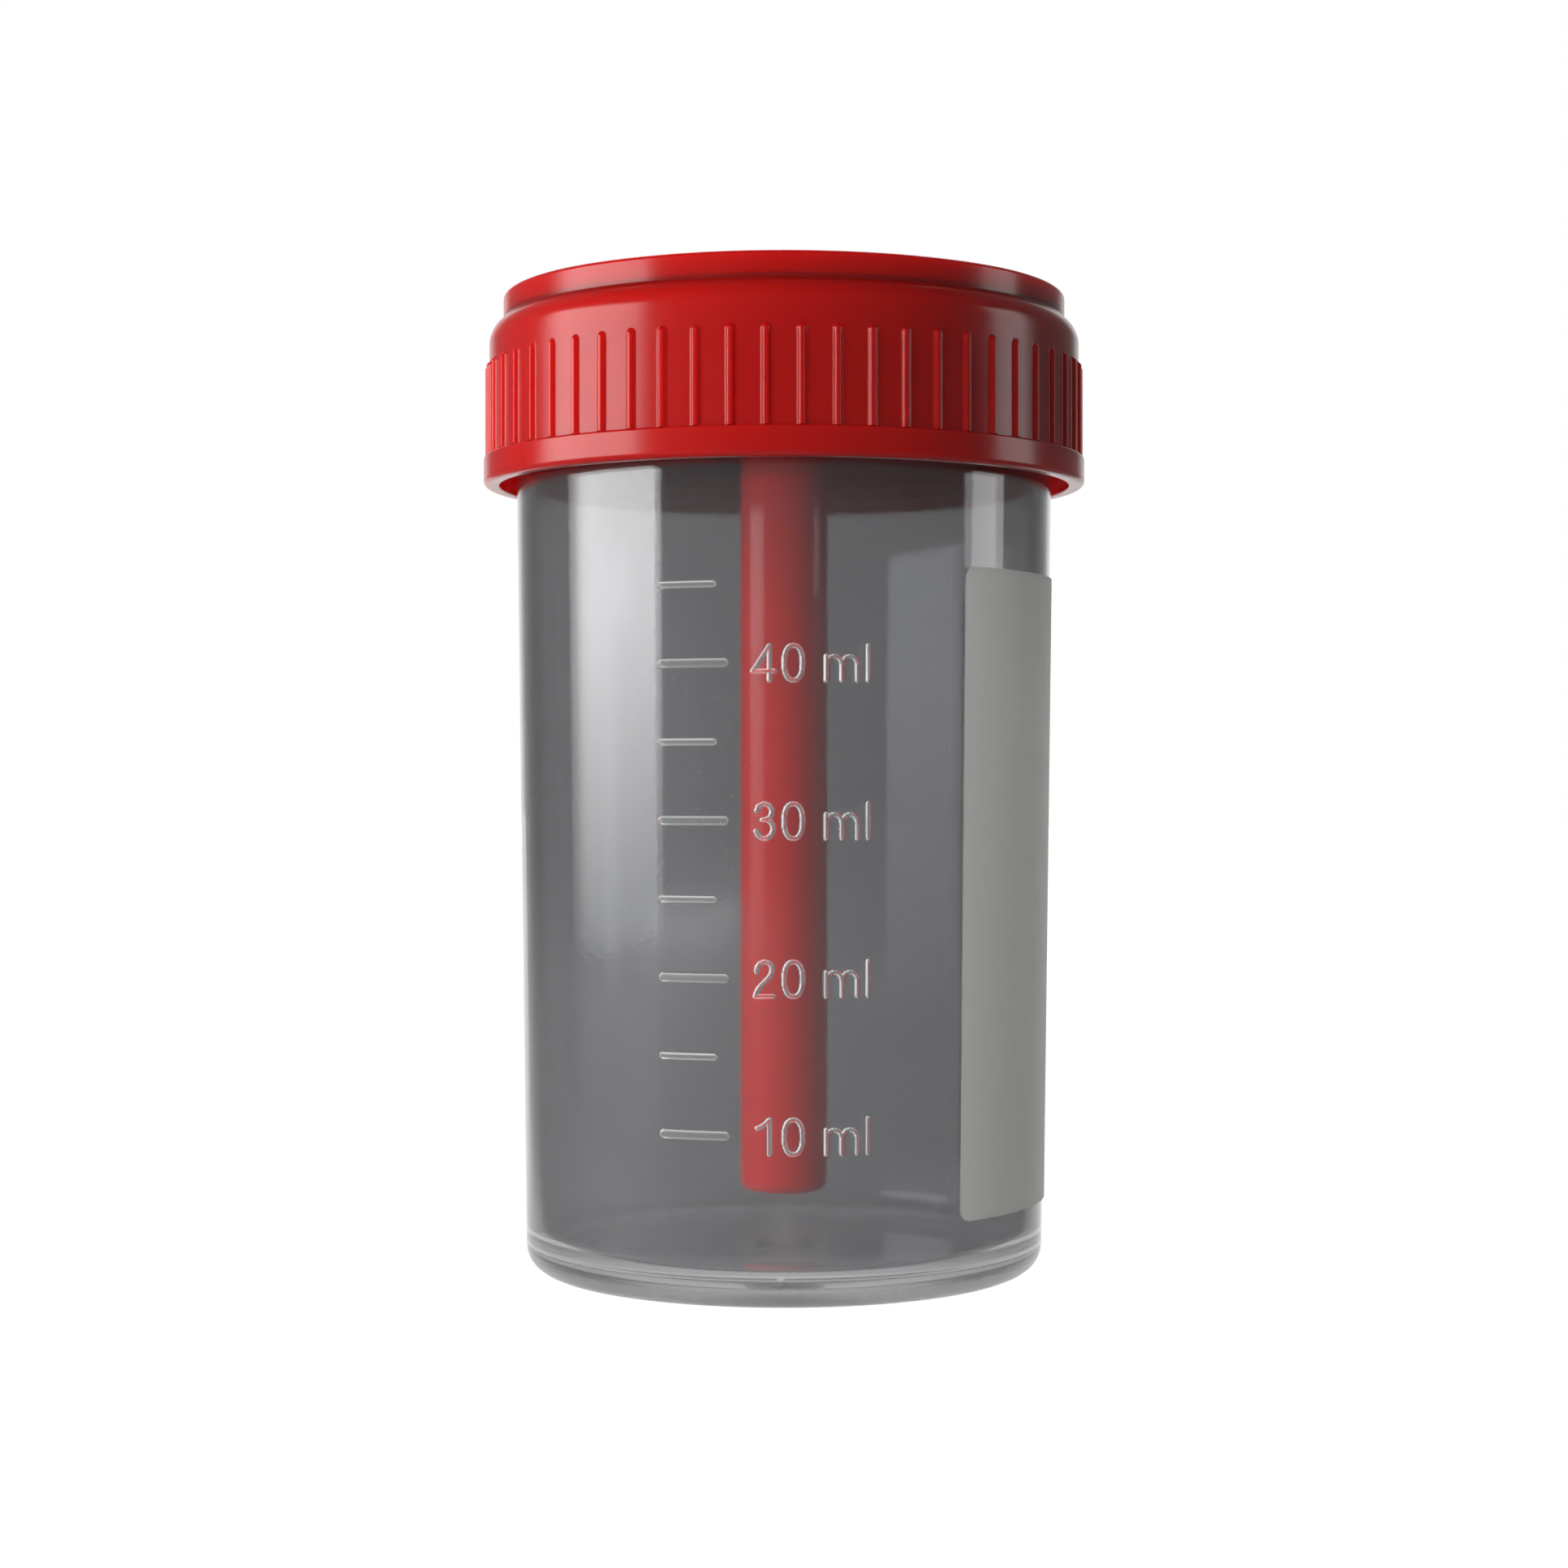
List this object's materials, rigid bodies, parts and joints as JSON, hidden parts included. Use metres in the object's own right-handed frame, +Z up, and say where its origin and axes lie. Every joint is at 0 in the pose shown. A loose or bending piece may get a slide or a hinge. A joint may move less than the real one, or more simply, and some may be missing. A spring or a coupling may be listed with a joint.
{
  "type": "specimen container",
  "caption": "Clear tapered plastic pot with raised graduations, blank frosted label and ribbed red screw cap carrying a round sampling stick.",
  "frame": {"origin": "centre of the foot, on the surface that the container stands on", "axes": "+Z up along the container's axis, -Y towards the side with the graduations, +X towards the label"},
  "size_m": [0.0428, 0.0428, 0.0691],
  "materials": {
    "clear_plastic": "smooth, slightly smoky translucent polypropylene",
    "label_film": "blank frosted translucent film",
    "red_plastic": "satin gloss red moulding",
    "red_plastic_stick": "satin gloss red moulding"
  },
  "bodies": {
    "container": {"container_body": "clear_plastic", "label": "label_film"},
    "stick": {"sampling_stick": "red_plastic_stick"},
    "cap": {"screw_cap": "red_plastic"}
  },
  "joints": [
    {"name": "cap_rise", "type": "slide", "parent": "container", "child": "stick", "axis": [0, 0, 1], "range_m": [0, 0.064]},
    {"name": "cap_turn", "type": "hinge", "parent": "stick", "child": "cap", "pos_m": [0, 0, 0.0675], "axis": [0, 0, 1], "range_deg": [0, 2880]}
  ],
  "couplings": [
    {"joint": "cap_rise", "follows": "cap_turn", "m_per_rad": 0.0012732}
  ]
}
